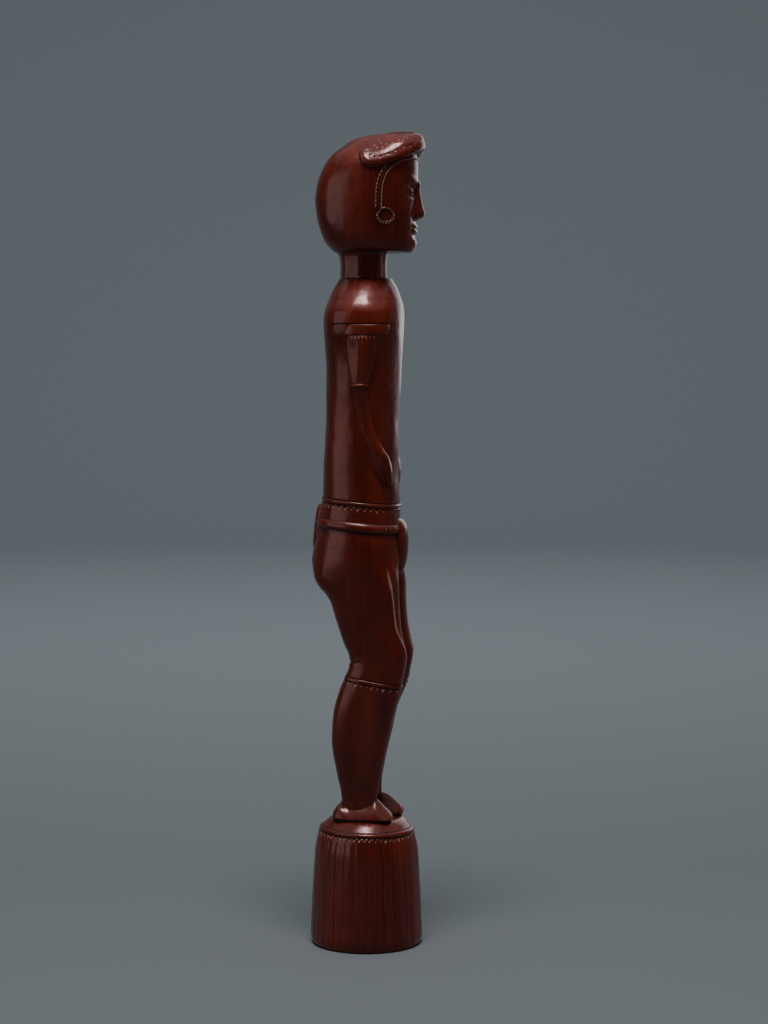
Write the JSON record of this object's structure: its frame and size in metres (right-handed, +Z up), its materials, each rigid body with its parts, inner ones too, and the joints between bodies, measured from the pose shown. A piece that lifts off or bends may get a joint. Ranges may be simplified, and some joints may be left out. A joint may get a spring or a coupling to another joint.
{
  "type": "carved standing figure",
  "caption": "Slender carved hardwood figure standing with bent knees on a round fluted base, arms in low relief, notched belt and a raised crest of hair.",
  "frame": {"origin": "centre of the base's flat underside", "axes": "+Z up the figure, the figure faces -Y, its left side is towards +X"},
  "size_m": [0.0584, 0.0599, 0.42],
  "materials": {
    "polished_hardwood": "polished"
  },
  "bodies": {
    "root": {"base_drum": "polished_hardwood", "base_cap": "polished_hardwood", "left_foot": "polished_hardwood", "right_foot": "polished_hardwood", "left_shin": "polished_hardwood", "right_shin": "polished_hardwood", "left_garter": "polished_hardwood", "right_garter": "polished_hardwood", "left_knee": "polished_hardwood", "right_knee": "polished_hardwood", "left_thigh": "polished_hardwood", "right_thigh": "polished_hardwood", "hips": "polished_hardwood", "loin_pouch": "polished_hardwood", "back_flap": "polished_hardwood", "belt_roll": "polished_hardwood", "loin_wrap": "polished_hardwood", "waistband": "polished_hardwood", "torso": "polished_hardwood", "left_armlet": "polished_hardwood", "right_armlet": "polished_hardwood", "left_upper_arm": "polished_hardwood", "right_upper_arm": "polished_hardwood", "left_elbow_cuff": "polished_hardwood", "right_elbow_cuff": "polished_hardwood", "left_forearm": "polished_hardwood", "right_forearm": "polished_hardwood", "left_hand": "polished_hardwood", "right_hand": "polished_hardwood", "shoulders": "polished_hardwood", "neck": "polished_hardwood", "head": "polished_hardwood", "left_ear": "polished_hardwood", "right_ear": "polished_hardwood", "hairline_band": "polished_hardwood", "hair_crest": "polished_hardwood"}
  },
  "joints": []
}
